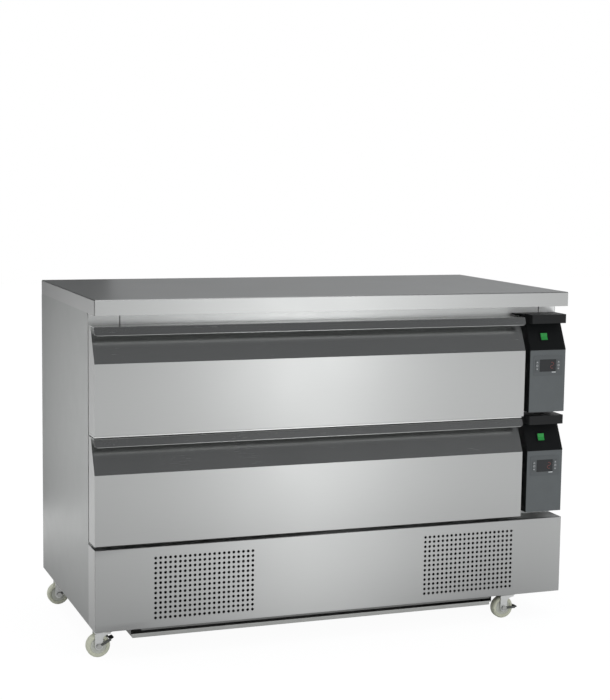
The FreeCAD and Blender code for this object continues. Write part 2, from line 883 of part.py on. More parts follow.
# Duct panels and evaporators in the column behind the control modules
panels = []
evaporators = []
for level in levels:
    low = opening_low(level)
    high = opening_high(level)
    mid = "(%s + %s) / 2" % (low, high)
    panel = new_body()
    port = ("circle", "column_mid", mid, "duct_port / 2")
    pad(panel, "side", [rect("frame_back", low, "inner_back", high), port], "duct_sheet", "duct_face")
    run = "(return_count - 1) * return_pitch"
    for start in ("frame_back + return_side", "inner_back - return_side - return_slot - " + run):
        slot = rect(start, low + " + return_low", start + " + return_slot", high + " - return_top")
        cutter = pocket(panel, "side", [slot], "duct_sheet", "duct_face")
        repeat(panel, cutter, ("Y_Axis", run, int(sizes["return_count"])))
    back = "duct_face + duct_sheet"
    inner = back + " + hub_length + motor_gap"
    outer = inner + " + shroud_plate"
    motor = rod((inner, "column_mid", mid), "small_motor_dia / 2", "hub_length", "x")
    shaft = rod((back, "column_mid", mid), "shaft_dia / 2", "hub_length + motor_gap + shaft_dia", "x")
    bar = box(
        (inner, "column_mid - duct_reach", mid + " - arm_half"),
        (outer, "column_mid + duct_reach", mid + " + arm_half"),
    )
    ends = []
    for edge in ("column_mid - duct_reach", "column_mid + duct_reach - shroud_plate"):
        low_end = (back, edge, mid + " - arm_half")
        high_end = (outer, edge + " + shroud_plate", mid + " + arm_half")
        ends.append(box(low_end, high_end))
    panels.append(fuse(panel, motor, shaft, bar, *ends))
    turned = FreeCAD.Rotation(FreeCAD.Vector(0, 0, 1), -90)
    fan("evaporator_fan_" + level, (back, "column_mid", mid), turned, "small_fan_dia")
    coil_low = ("inner_right - coil_thick", "column_mid - coil_length / 2", low)
    coil_high = ("inner_right", "column_mid + coil_length / 2", high)
    evaporators.append(fin_block(coil_low, coil_high, "fin_count"))
finish("duct_panels", group(*panels))
finish("evaporator_coils", group(*evaporators))


# Control modules: a moulded housing with the drawer's own side view, a faceplate and the controls
def module_profile(level):
    base = levels[level]
    low = "%s + module_base_lift" % base
    bend = "%s + bend_height" % base
    cap_top = "%s + front_height + module_cap_lift" % base
    cap_low = "%s - module_cap" % cap_top
    cap_in = "(%s - (%s)) * slant_slope" % (cap_low, bend)
    return low, bend, cap_top, cap_low, cap_in


slant = FreeCAD.Rotation(FreeCAD.Vector(1, 0, 0), -1)
housings = []
faceplates = []
cases = []
windows = []
switch_frames = []
for level in levels:
    low, bend, cap_top, cap_low, cap_in = module_profile(level)
    mid_x = "module_left + module_width / 2"
    mid_z = bend + " - bezel_drop"

    def around(width, tall, grow="0", across=mid_x, up=mid_z):
        return rect(
            "%s - %s / 2 - (%s)" % (across, width, grow),
            "%s - %s / 2 - (%s)" % (up, tall, grow),
            "%s + %s / 2 + (%s)" % (across, width, grow),
            "%s + %s / 2 + (%s)" % (up, tall, grow),
        )

    outline = [
        ("front_depth", low),
        ("faceplate_set + faceplate_thick", low),
        ("faceplate_set + faceplate_thick", bend),
        ("0", bend),
        (cap_in, cap_low),
        ("0", cap_low),
        ("0", cap_top),
        ("front_depth", cap_top),
    ]
    housing = new_body()
    pad(housing, "side", [outline], "module_width", "module_left")

    def cap_end(edge, frame):
        return upright(edge, frame) and near(edge.YMin, frame.YMin) and near(edge.ZMax, frame.ZMax)

    soften(housing, "cap_round", cap_end)
    wing = [
        ("module_left - module_wing", "front_depth"),
        ("module_left - module_wing", "front_depth - wing_depth + wing_cut"),
        ("module_left - module_wing + wing_cut", "front_depth - wing_depth"),
        ("module_left + module_wall", "front_depth - wing_depth"),
        ("module_left + module_wall", "front_depth"),
    ]
    pad(housing, "top", [wing], "wing_thick", cap_top + " - wing_thick")
    face_back = "faceplate_set + faceplate_thick + module_wall"
    roof = cap_top + " - module_wall - wing_thick"
    inside = [
        ("front_depth", low + " + module_wall"),
        (face_back, low + " + module_wall"),
        (face_back, bend + " - module_wall"),
        (cap_in + " + 2 * module_wall", cap_low),
        (cap_in + " + 2 * module_wall", roof),
        ("front_depth", roof),
    ]
    pocket(housing, "side", [inside], "module_width - 2 * module_wall", "module_left + module_wall")
    hole = around("case_width", "case_tall", "case_play")
    pocket(housing, "front", [hole], "2 * module_wall", "faceplate_set + faceplate_thick")

    faceplate = new_body()
    outer = rect("module_left", low, "module_left + module_width", bend)
    pad(faceplate, "front", [outer, hole], "faceplate_thick", "faceplate_set")
    faceplates.append(faceplate)

    case = new_body()
    pad(case, "front", [around("bezel_width", "bezel_tall")], "faceplate_set - key_proud", "key_proud")
    bevel(case, "bezel_round", lengthwise)
    pad(case, "front", [around("case_width", "case_tall")], "case_depth", "faceplate_set")
    pocket(case, "front", [around("window_width", "window_tall")], "window_thick", "key_proud")
    window = new_body()
    pane = around("window_width", "window_tall", "-key_play / 2")
    pad(window, "front", [pane], "window_thick - window_set", "key_proud + window_set")
    windows.append(window)
    for side, sign in (("left", "-"), ("right", "+")):
        key_x = "%s %s (window_width / 2 + key_gap + key_width / 2)" % (mid_x, sign)
        key = new_body()
        pad(key, "front", [around("key_width", "key_tall", "0", key_x)], "key_thick")
        finish("key_%s_%s" % (side, level), key)
        well = around("key_width", "key_tall", "key_play", key_x)
        pocket(case, "front", [well], "key_thick + key_travel + key_play - key_proud", "key_proud")
    cases.append(case)

    # The switch sits square to the leaning band.
    seat = ("module_left + switch_side", "switch_rise * slant_slope", bend + " + switch_rise")

    def on_band(at=seat, turn="-slant_angle"):
        made = new_body(at, slant)
        made.setExpression("Placement.Rotation.Angle", bind(turn))
        return made

    def middle(width, tall, grow="0"):
        return around(width, tall, grow, "0", "0")

    cutter = on_band()
    pad(cutter, "front", [middle("switch_block", "switch_block", "case_play")], "switch_depth", "-switch_proud")
    housings.append(cut(housing, cutter))
    rim = on_band()
    pad(rim, "front", [middle("switch_width", "switch_tall")], "switch_proud", "-switch_proud")
    pad(rim, "front", [middle("switch_block", "switch_block")], "switch_depth")
    well = middle("2 * rocker_half", "2 * rocker_half", "3 * rocker_play")
    pocket(rim, "front", [well], "switch_proud + rocker_pivot + 2 * rocker_back", "-switch_proud")
    switch_frames.append(rim)
    pivot = (
        "module_left + switch_side",
        "switch_rise * slant_slope + rocker_pivot * cos(slant_angle)",
        "%s + switch_rise - rocker_pivot * sin(slant_angle)" % bend,
    )
    rocker = on_band(pivot, "-slant_angle + rocker_tilt * 1 deg")
    crest = "-rocker_deep - rocker_half * tan(rocker_tilt)"
    wave = [
        ("-rocker_deep", "0"),
        (crest, "rocker_half"),
        ("0", "rocker_half - rocker_play"),
        ("rocker_back", "rocker_half - rocker_back"),
        ("rocker_back", "rocker_back - rocker_half"),
        ("0", "rocker_play - rocker_half"),
        (crest, "-rocker_half"),
    ]
    pad(rocker, "side", [wave], "2 * rocker_half", "-rocker_half")
    finish("power_switch_" + level, rocker)

finish("control_housings", group(*housings))
finish("control_faceplates", group(*faceplates))
finish("thermostat_cases", group(*cases))
finish("thermostat_windows", group(*windows))
finish("switch_frames", group(*switch_frames))

# Plinth: a shallow box of sheet with a grille in front of each condensing unit
plinth = new_body()
across = rect("0", "0", "body_width", "front_depth")
pad(plinth, "top", [across], "plinth_height")
hollow = [
    ("front_depth", "0"),
    ("plinth_flange", "0"),
    ("plinth_flange", "skin"),
    ("skin", "skin"),
    ("skin", "plinth_height - skin"),
    ("front_depth", "plinth_height - skin"),
]
pocket(plinth, "side", [hollow], "body_width - 2 * skin", "skin")
columns = int(sizes["grille_columns"])
rows = int(sizes["grille_rows"])
wide = "(grille_columns - 1) * grille_pitch"
tall = "(grille_rows - 1) * grille_pitch"
for mid in units.values():
    x = "%s - %s / 2" % (mid, wide)
    z = "grille_mid - %s / 2" % tall
    diamond = [
        (x + " - grille_hole / 2", z),
        (x, z + " - grille_hole / 2"),
        (x + " + grille_hole / 2", z),
        (x, z + " + grille_hole / 2"),
    ]
    hole = pocket(plinth, "front", [diamond], "2 * skin", "-skin / 2")
    repeat(plinth, hole, ("X_Axis", wide, columns), ("Z_Axis", tall, rows))
finish("plinth_front", plinth)

# Base sheet, rear cover and what hangs under the base
base = new_body()
base_outline = rect("skin", "plinth_flange", "body_width - skin", "body_depth - skin")
inner_outline = rect(
    "skin + base_sheet",
    "front_depth",
    "body_width - skin - base_sheet",
    "body_depth - skin - base_sheet",
)
pad(base, "top", [base_outline], "base_sheet")
outer_outline = rect("skin", "front_depth - base_sheet", "body_width - skin", "body_depth - skin")
pad(base, "top", [outer_outline, inner_outline], "base_flange")
finish("base_tray", base)

cover = new_body()
pad(cover, "front", [rect("skin", "0", "body_width - skin", "floor_low")], "skin", "body_depth - skin")
for start in ("louvre_side", "body_width - louvre_side - louvre_length"):
    slot = rect(start, "louvre_low", start + " + louvre_length", "louvre_low + louvre_tall")
    cutter = pocket(cover, "front", [slot], "2 * skin", "body_depth - 1.5 * skin")
    repeat(cover, cutter, ("Z_Axis", "(louvre_rows - 1) * louvre_pitch", int(sizes["louvre_rows"])))
gland = ("circle", "gland_side", "gland_rise", "gland_dia / 2")
pocket(cover, "front", [gland], "2 * skin", "body_depth - 1.5 * skin")
finish("rear_cover", cover)

rail_outline = [
    ("rail_front", "0"),
    ("rail_front", "-rail_drop"),
    ("rail_front + rail_deep", "-rail_drop"),
    ("rail_front + rail_deep", "0"),
    ("rail_front + rail_deep - base_sheet", "0"),
    ("rail_front + rail_deep - base_sheet", "base_sheet - rail_drop"),
    ("rail_front + base_sheet", "base_sheet - rail_drop"),
    ("rail_front + base_sheet", "0"),
]
rail = new_body()
pad(rail, "side", [rail_outline], "body_width - rail_right - rail_left", "rail_left")
hook_top = "-ledge - tray_sheet"
guide = [
    ("-tray_rim", "0"),
    ("-tray_rim", hook_top + " - base_sheet"),
    ("-tray_sheet", hook_top + " - base_sheet"),
    ("-tray_sheet", hook_top),
    ("base_sheet - tray_rim", hook_top),
    ("base_sheet - tray_rim", "0"),
]
guides = []
for start, sign in (("tray_left", ""), ("tray_end", "-")):
    made = new_body()
    section = [("%s + %s(%s)" % (start, sign, x), z) for x, z in guide]
    pad(made, "front", [section], "tray_deep", "tray_front")
    guides.append(made)
finish("under_rails", group(rail, *guides))

tray = new_body()
tray_outline = rect("tray_left", "tray_front", "tray_end", "tray_front + tray_deep")
pad(tray, "top", [tray_outline], "tray_wall", "-tray_low")
rim = "tray_rim - base_sheet"
rim_outline = rect("tray_left - (%s)" % rim, "tray_front", "tray_end + %s" % rim, "tray_front + tray_deep")
pad(tray, "top", [rim_outline], "tray_sheet", hook_top)
inside = rect(
    "tray_left + tray_sheet",
    "tray_front + tray_sheet",
    "tray_end - tray_sheet",
    "tray_front + tray_deep - tray_sheet",
)
pocket(tray, "top", [inside], "tray_wall", "tray_sheet - tray_low")
finish("condensate_tray", tray)

# Swivel casters: plate with its race and kingpin, fork with the axle, wheel, and brake strap
casters = {
    "front_left": ("caster_inset", "caster_front", "0"),
    "front_right": ("body_width - caster_right", "caster_front", "brake_throw"),
    "rear_left": ("caster_inset", "body_depth - caster_back", "0"),
    "rear_right": ("body_width - caster_right", "body_depth - caster_back", "0"),
}
plates = []
for corner, (x, y, pressed) in casters.items():
    plate = new_body((x, y, "0"))
    half = "plate_wide / 2"
    pad(plate, "top", [rect("-" + half, "-" + half, half, half)], "plate_thick", "-plate_thick")
    race = polygon("0", "0", "race_dia", int(sizes["race_sides"]))
    pad(plate, "top", [race], "race_tall", "-plate_thick - race_tall")
    kingpin = polygon("0", "0", "kingpin_dia", int(sizes["bore_sides"]))
    pad(plate, "top", [kingpin], "pin_head - plate_thick", "-pin_head")
    pin_nut = polygon("0", "0", "kingpin_head")
    pad(plate, "top", [pin_nut], "kingpin_head_tall", "-pin_head - kingpin_head_tall")
    plates.append(plate)

    fork = new_body((x, y, "0"))
    crown = rect("crown_back - fork_top", "-fork_outer", "crown_back", "fork_outer")
    bore = polygon("0", "0", "kingpin_dia + 2 * swivel_play", int(sizes["bore_sides"]))
    pad(fork, "top", [crown, bore], "fork_sheet", "-fork_low")
    leg = [
        ("crown_back - fork_top", "-crown_top"),
        ("crown_back - fork_top", "-leg_top"),
        ("-trail - eye_half", "-wheel_down - eye_step"),
        ("-trail - eye_step", "-wheel_down - eye_half"),
        ("-trail + eye_step", "-wheel_down - eye_half"),
        ("-trail + eye_half", "-wheel_down - eye_step"),
        ("crown_back", "-leg_top"),
        ("crown_back", "-crown_top"),
    ]
    bolt = polygon("-trail", "-wheel_down", "bolt_head")
    axle = polygon("-trail", "-wheel_down", "axle_dia", int(sizes["bore_sides"]))
    for start in ("-fork_outer", "fork_inner"):
        pad(fork, "front", [leg], "fork_sheet", start)
    pad(fork, "front", [axle], "2 * axle_half", "-axle_half")
    for start in ("-axle_half - bolt_head_tall", "axle_half"):
        pad(fork, "front", [bolt], "bolt_head_tall", start)
    finish("caster_fork_" + corner, fork)

    wheel = new_body(("%s - trail" % x, y, "-wheel_down"))
    tread = polygon("0", "0", "wheel_dia", int(sizes["wheel_sides"]))
    bore = polygon("0", "0", "axle_dia + 2 * axle_play", int(sizes["bore_sides"]))
    pad(wheel, "front", [tread, bore], "wheel_width", "-wheel_width / 2")
    finish("caster_wheel_" + corner, wheel)

    brake = new_body(("%s - trail" % x, y, "-wheel_down"), FreeCAD.Rotation(FreeCAD.Vector(0, 1, 0), 1))
    brake.setExpression("Placement.Rotation.Angle", bind("(%s - brake_rise) * 1 deg" % pressed))
    half = "brake_arm / 2"
    step = "brake_arm / 2 - brake_arm_cut"
    arm = [
        ("-" + half, "-(%s)" % step),
        ("-(%s)" % step, "-" + half),
        ("brake_reach", "-" + half),
        ("brake_reach", half),
        ("-(%s)" % step, half),
        ("-" + half, step),
    ]
    hole = polygon("0", "0", "axle_dia + 2 * swivel_play", int(sizes["bore_sides"]))
    for start in ("-brake_out", "fork_outer + swivel_play"):
        pad(brake, "front", [arm, hole], "brake_sheet", start)
    strap = rect("brake_reach - brake_sheet", "-" + half, "brake_reach", half)
    pad(brake, "front", [strap], "2 * brake_out", "-brake_out")
    tab = rect("brake_reach", "-" + half, "brake_reach + brake_tab", "brake_tab_thick - " + half)
    pad(brake, "front", [tab], "2 * brake_tab", "-brake_tab")
    finish("caster_brake_" + corner, brake)
finish("caster_plates", group(*plates))

doc.recompute()
for thing in doc.Objects:
    if "Invalid" in thing.State or "Error" in thing.State:
        raise ValueError("%s doesn't build" % thing.Label)
os.makedirs("parts", exist_ok=True)
for thing in finished:
    if thing.Shape.isNull() or not thing.Shape.isValid():
        raise ValueError("%s has no sound shape" % thing.Label)
    thing.Shape.exportStep("parts/%s.step" % thing.Label)
print(len(finished), "parts written")
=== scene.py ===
import math

import bmesh
import bpy
from mathutils import Matrix, Vector


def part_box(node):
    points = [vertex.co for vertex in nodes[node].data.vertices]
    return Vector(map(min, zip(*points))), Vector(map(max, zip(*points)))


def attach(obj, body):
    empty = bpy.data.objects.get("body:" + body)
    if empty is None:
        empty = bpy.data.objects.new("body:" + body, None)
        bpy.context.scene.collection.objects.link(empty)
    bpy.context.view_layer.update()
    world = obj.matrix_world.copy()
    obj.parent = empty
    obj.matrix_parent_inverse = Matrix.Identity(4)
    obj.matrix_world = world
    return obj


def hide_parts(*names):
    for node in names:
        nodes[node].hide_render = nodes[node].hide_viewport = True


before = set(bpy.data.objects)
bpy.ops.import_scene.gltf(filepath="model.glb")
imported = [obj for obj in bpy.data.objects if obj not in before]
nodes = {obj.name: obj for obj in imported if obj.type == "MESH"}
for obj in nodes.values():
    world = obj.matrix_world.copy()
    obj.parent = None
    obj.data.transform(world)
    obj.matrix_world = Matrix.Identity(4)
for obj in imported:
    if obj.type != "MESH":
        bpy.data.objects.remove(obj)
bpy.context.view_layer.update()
print("frame loaded,", len(nodes), "nodes")

mm = 0.001


# Shader maths: a socket that can be added, multiplied and compared
class Wire:
    def __init__(self, paint, socket):
        self.paint = paint
        self.socket = socket

    def __add__(self, other):
        return self.paint.maths("ADD", self, other)

    def __radd__(self, other):
        return self.paint.maths("ADD", other, self)

    def __sub__(self, other):
        return self.paint.maths("SUBTRACT", self, other)

    def __rsub__(self, other):
        return self.paint.maths("SUBTRACT", other, self)

    def __mul__(self, other):
        return self.paint.maths("MULTIPLY", self, other)

    def __rmul__(self, other):
        return self.paint.maths("MULTIPLY", other, self)

    def __truediv__(self, other):
        return self.paint.maths("DIVIDE", self, other)

    def __rtruediv__(self, other):
        return self.paint.maths("DIVIDE", other, self)

    def __gt__(self, other):
        return self.paint.maths("GREATER_THAN", self, other)

    def __lt__(self, other):
        return self.paint.maths("LESS_THAN", self, other)

    def __abs__(self):
        return self.paint.maths("ABSOLUTE", self)


def scaled(color, share):
    return tuple(min(channel * share, 1) for channel in color)


class Paint:
    # a material's nodes, or those of the tree that is given
    def __init__(self, name, tree=None, **sockets):
        if tree is None:
            self.material = bpy.data.materials.new(name)
            self.material.use_nodes = True
            tree = self.material.node_tree
            self.shader = tree.nodes["Principled BSDF"]
            for socket, value in sockets.items():
                self.shader.inputs[socket.replace("_", " ")].default_value = value
        self.tree = tree

    def node(self, kind, settings=None, inputs=None):
        made = self.tree.nodes.new(kind)
        for name, value in (settings or {}).items():
            if name == "stops":
                self.setStops(made, value)
            else:
                setattr(made, name, value)
        for key, value in (inputs or {}).items():
            self.feed(made.inputs[key], value)
        return made

    def setStops(self, made, stops):
        ramp = made.color_ramp
        while len(ramp.elements) < len(stops):
            ramp.elements.new(0.5)
        for element, (place, color) in zip(ramp.elements, stops):
            element.position = place
            element.color = (*color, 1)

    def feed(self, socket, value):
        if isinstance(value, Wire):
            self.tree.links.new(value.socket, socket)
        elif isinstance(value, bpy.types.NodeSocket):
            self.tree.links.new(value, socket)
        else:
            socket.default_value = value

    def maths(self, operation, first, second=0):
        made = self.node("ShaderNodeMath", {"operation": operation}, {0: first, 1: second})
        return Wire(self, made.outputs[0])

    def place(self, stretch=(1, 1, 1)):
        where = self.node("ShaderNodeTexCoord").outputs["Object"]
        return self.node("ShaderNodeMapping", {}, {"Vector": where, "Scale": stretch}).outputs[0]

    def axes(self):
        where = self.node("ShaderNodeSeparateXYZ", {}, {0: self.place()})
        return [Wire(self, socket) for socket in where.outputs]

    def ray(self, kind):
        return Wire(self, self.node("ShaderNodeLightPath").outputs["Is %s Ray" % kind])

    def noise(self, size, stretch=(1, 1, 1), detail=3, rough=0.55):
        inputs = {"Vector": self.place(stretch), "Scale": 1 / size, "Detail": detail, "Roughness": rough}
        return Wire(self, self.node("ShaderNodeTexNoise", {}, inputs).outputs[0])

    def blend(self, mask, dark, light):
        # a colour is three numbers or a socket
        ends = [(*color, 1) if isinstance(color, tuple) else color for color in (dark, light)]
        inputs = {"Factor": mask, 6: ends[0], 7: ends[1]}
        return self.node("ShaderNodeMix", {"data_type": "RGBA"}, inputs).outputs[2]

    def ramp(self, value, stops):
        return self.node("ShaderNodeValToRGB", {"stops": stops}, {0: value}).outputs[0]

    def set(self, name, value):
        self.feed(self.shader.inputs[name], value)

    def tint(self, mask, color, tones, name="Base Color"):
        self.set(name, self.blend(mask, scaled(color, tones[0]), scaled(color, tones[1])))

    def bump(self, height, depth, strength):
        inputs = {"Height": height, "Distance": depth, "Strength": strength}
        self.set("Normal", self.node("ShaderNodeBump", {}, inputs).outputs[0])


# Finishes
steelLook = {"color": (0.52, 0.528, 0.524), "rough": 0.40, "spread": 0.85, "grain": 0.0006, "length": 90,
             "smudge": 0.16, "grainShare": 0.6, "tones": (0.94, 1.06), "grainRough": 0.06,
             "smudgeRough": 0.05, "depth": 0.00001, "strength": 0.03}


def brushedSteel(name, along, color=steelLook["color"], rough=steelLook["rough"], spread=0.0):
    paint = Paint(name, Metallic=1.0, Anisotropic=spread, Anisotropic_Rotation=0.25)
    stretch = tuple(1 / steelLook["length"] if axis == along else 1 for axis in "xyz")
    grain = paint.noise(steelLook["grain"], stretch, detail=2)
    smudge = paint.noise(steelLook["smudge"], detail=4)
    share = steelLook["grainShare"]
    paint.tint(grain * share + smudge * (1 - share), color, steelLook["tones"])
    least = rough - steelLook["smudgeRough"]
    paint.set("Roughness", least + grain * steelLook["grainRough"] + smudge * steelLook["smudgeRough"])
    paint.bump(grain, steelLook["depth"], steelLook["strength"])
    return paint.material


metalLook = {"cloud": 0.05, "fineShare": 0.4, "tones": (0.90, 1.08), "uneven": 0.12, "depth": 0.00003,
             "strength": 0.2}


def satinMetal(name, color, rough=0.42, metallic=1.0, speckle=0.002):
    paint = Paint(name, Metallic=metallic)
    fine = paint.noise(speckle, detail=2)
    cloud = paint.noise(metalLook["cloud"], detail=4)
    share = metalLook["fineShare"]
    paint.tint(fine * share + cloud * (1 - share), color, metalLook["tones"])
    paint.set("Roughness", rough - metalLook["uneven"] / 2 + cloud * metalLook["uneven"])
    paint.bump(fine, metalLook["depth"], metalLook["strength"])
    return paint.material


plasticLook = {"cloud": 0.04, "tones": (0.88, 1.12), "uneven": 0.10, "refraction": 1.48, "strength": 0.35}


def mouldedPlastic(name, color, rough=0.45, grain=0.0006, depth=0.00004, shine=0.5):
    paint = Paint(name, IOR=plasticLook["refraction"], Specular_IOR_Level=shine)
    fine = paint.noise(grain, detail=2)
    cloud = paint.noise(plasticLook["cloud"])
    paint.tint(cloud, color, plasticLook["tones"])
    paint.set("Roughness", rough - plasticLook["uneven"] / 2 + cloud * plasticLook["uneven"])
    paint.bump(fine, depth, plasticLook["strength"])
    return paint.material


glowLook = {"cloud": 0.02, "tones": (0.7, 1), "lit": (0.8, 1)}


def glowing(name, color, strength, rough=0.2):
    paint = Paint(name, Roughness=rough, Emission_Strength=strength)
    cloud = paint.noise(glowLook["cloud"], detail=2)
    paint.tint(cloud, color, glowLook["tones"])
    paint.tint(cloud, color, glowLook["lit"], "Emission Color")
    return paint.material


finLook = {"rough": 0.38, "gap": 0.28, "shade": 0.12, "depth": 0.0006, "strength": 0.6}


def finStack(name, color, pitch, axis):
    # thin fins with painted shade in the gaps between them, side by side along an axis
    paint = Paint(name, Metallic=1.0, Roughness=finLook["rough"])
    # painted shade: the gaps between the fins are darkened in the colour by the shade share
    gap = paint.maths("FRACT", paint.axes()[axis] / pitch) < finLook["gap"]
    paint.tint(gap, color, (1, finLook["shade"]))
    paint.bump(1 - gap, finLook["depth"], finLook["strength"])
    return paint.material


bezelColor = (0.086, 0.096, 0.100)
steelX = brushedSteel("steelAlongX", "x", spread=steelLook["spread"])
# painted shade: a darker copy of the brushed steel for the worktop
steelTopShaded = brushedSteel("worktopSteelShaded", "x", (0.385, 0.391, 0.388), 0.34)
# painted highlight: a brighter copy of the brushed steel for the front frame and its strip between the
# drawers
steelLitFrame = brushedSteel("frameSteelLit", "x", (0.90, 0.91, 0.905), 0.46, steelLook["spread"])
bandSteel = brushedSteel("bandSteel", "x", (0.50, 0.508, 0.504), 0.25)
sideSteel = satinMetal("sideSteel", (0.34, 0.35, 0.345), 0.36)
# painted shade: a darker copy of the zinc plate for the rails under the cabinet
railZincShaded = satinMetal("railZincShaded", (0.27, 0.275, 0.27), speckle=0.004)
# painted shade: a near-black copy of the zinc plate for the base tray under the cabinet
trayZincShaded = satinMetal("trayZincShaded", (0.09, 0.092, 0.09), 0.5, speckle=0.004)
linerSteel = brushedSteel("linerSteel", "y", (0.70, 0.71, 0.71), 0.33)
foamWhite = mouldedPlastic("foamWhite", (0.74, 0.74, 0.71), 0.6, grain=0.0015, depth=0.0001)
sealBlack = mouldedPlastic("sealBlack", (0.035, 0.035, 0.036), 0.6)
zinc = satinMetal("zincPlate", (0.66, 0.67, 0.65), 0.36, speckle=0.004)
zincLight = satinMetal("zincLight", (0.88, 0.89, 0.88), 0.40, metallic=0.7, speckle=0.003)
strapZinc = satinMetal("strapZinc", (0.16, 0.165, 0.16), 0.40, speckle=0.003)
blackPlastic = mouldedPlastic("blackPlastic", (0.008, 0.009, 0.0095), 0.40, shine=0.22)
greyPlastic = mouldedPlastic("greyPlastic", (0.10, 0.112, 0.116), 0.42)
bezelGrey = mouldedPlastic("bezelGrey", bezelColor, 0.40)
windowBlack = mouldedPlastic("windowBlack", (0.016, 0.018, 0.020), 0.14, 0.01, 0.000005, shine=0.35)
greenLens = glowing("greenLens", (0.03, 0.34, 0.065), 0.14)
# painted shade: the condenser fins are near-black so the grille holes in front of them look dark
coilFinsShaded = finStack("coilFinsShaded", (0.035, 0.036, 0.038), 0.0022, 0)
sideFins = finStack("evaporatorFins", (0.72, 0.73, 0.74), 0.003, 1)
fanBlack = mouldedPlastic("fanBlack", (0.02, 0.02, 0.022), 0.42)
shellBlack = mouldedPlastic("compressorEnamel", (0.012, 0.012, 0.013), 0.25, grain=0.002, depth=0.00003)
treadCream = mouldedPlastic("treadCream", (0.70, 0.71, 0.57), 0.5, grain=0.002, depth=0.00008)
hubGrey = mouldedPlastic("hubGrey", (0.62, 0.63, 0.57))
# the pale bar is a printed mark; its glow is painted light
paleMarkGlow = glowing("paleMarkGlow", (0.75, 0.78, 0.78), 0.15, 0.4)
redDigit = glowing("redDigit", (0.13, 0.016, 0.012), 0.20, 0.3)

finishes = {
    "worktop": steelTopShaded, "left_side_panel": sideSteel, "right_side_panel": sideSteel, "back_panel": sideSteel,
    "cabinet_floor": linerSteel, "drawer_divider": linerSteel, "ceiling_panel": linerSteel,
    "front_frame": steelLitFrame, "fixed_runners": zinc, "duct_panels": linerSteel, "evaporator_coils": sideFins,
    "condenser_coils": coilFinsShaded, "fan_shrouds": zinc, "compressors": shellBlack,
    "control_housings": blackPlastic, "control_faceplates": greyPlastic, "thermostat_cases": bezelGrey,
    "thermostat_windows": windowBlack, "switch_frames": blackPlastic, "base_tray": trayZincShaded,
    "rear_cover": sideSteel, "under_rails": railZincShaded, "condensate_tray": zinc, "caster_plates": zinc,
    "plinth_front": steelX,
}
starts = {
    "drawer_skin": steelX, "drawer_liner": foamWhite, "drawer_gasket": sealBlack, "drawer_bin": linerSteel,
    "drawer_carriage": zinc, "runner_middle": zinc, "evaporator_fan": fanBlack, "condenser_fan": fanBlack,
    "power_switch": greenLens, "key_": bezelGrey, "caster_fork": zincLight, "caster_wheel": treadCream,
    "caster_brake": zinc,
}


def coat(thing, material):
    thing.data.materials.clear()
    thing.data.materials.append(material)


for name, thing in nodes.items():
    chosen = finishes.get(name)
    for start, material in starts.items():
        if name.startswith(start):
            chosen = material
    coat(thing, chosen)
print("finishes on the CAD nodes")

# Mesh making: a shape is its points and its faces
edges = {"weld": 0.002 * mm, "sharp": 35, "soft": 30, "segments": 2}


def piece(name, shape, material, body, replaced=(), smooth=True):
    mesh = bpy.data.meshes.new(name)
    mesh.from_pydata([tuple(v) for v in shape[0]], [], shape[1])
    welded = bmesh.new()
    welded.from_mesh(mesh)
    bmesh.ops.remove_doubles(welded, verts=welded.verts, dist=edges["weld"])
    bmesh.ops.recalc_face_normals(welded, faces=welded.faces)
    welded.to_mesh(mesh)
    welded.free()
    thing = bpy.data.objects.new(name, mesh)
    bpy.context.scene.collection.objects.link(thing)
    mesh.materials.append(material)
    if smooth:
        mesh.shade_smooth()
        mesh.set_sharp_from_angle(angle=math.radians(edges["sharp"]))
    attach(thing, body)
    if replaced:
        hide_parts(*replaced)
    return thing


def soften(thing, width):
    bevel = thing.modifiers.new("edges", "BEVEL")
    bevel.width = width
    bevel.segments = edges["segments"]
    bevel.limit_method = "ANGLE"
    bevel.angle_limit = math.radians(edges["soft"])


def lathe(profile, centre, steps):
    # profile: distance along the Y axis and radius, point by point
    turn = Vector((0, 0, 1)).rotation_difference(Vector((0, 1, 0))).to_matrix()
    vertices = []
    faces = []
    for along, radius in profile:
        for i in range(steps):
            angle = 2 * math.pi * i / steps
            spoke = Vector((radius * math.cos(angle), radius * math.sin(angle), along))
            vertices.append(turn @ spoke + Vector(centre))
    for row in range(len(profile) - 1):
        for i in range(steps):
            j = (i + 1) % steps
            a = row * steps
            b = a + steps
            faces.append((a + i, a + j, b + j, b + i))
    return vertices, faces


def rounded(profile, radius, steps=4):
    # rounds the inner corners of an open profile, each over less than half of its sides
    points = [Vector(p) for p in profile]
    made = [points[0]]
    for before, corner, after in zip(points, points[1:], points[2:]):
        back = (before - corner).normalized()
        ahead = (after - corner).normalized()
        reach = min(radius, (before - corner).length / 2.1, (after - corner).length / 2.1)
        start = corner + back * reach
        end = corner + ahead * reach
        for i in range(steps + 1):
            share = i / steps
            made.append(start * (1 - share) ** 2 + corner * 2 * share * (1 - share) + end * share ** 2)
    made.append(points[-1])
    return [tuple(p) for p in made]


def arcPoints(centre, radius, start, end, steps):
    made = []
    for i in range(steps + 1):
        angle = math.radians(start + (end - start) * i / steps)
        made.append((centre[0] + radius * math.cos(angle), centre[1] + radius * math.sin(angle)))
    return made


def prism(outline, low, high, axis):
    # outline: points in the two other axes, in X, Y, Z order
    across, up, along = {"x": (1, 2, 0), "y": (0, 2, 1), "z": (0, 1, 2)}[axis]
    vertices = []
    for level in (low, high):
        for u, v in outline:
            point = [0, 0, 0]
            point[across], point[up], point[along] = u, v, level
            vertices.append(point)
    count = len(outline)
    faces = [tuple(range(count)), tuple(range(count, 2 * count))]
    faces += [(i, (i + 1) % count, count + (i + 1) % count, count + i) for i in range(count)]
    return vertices, faces


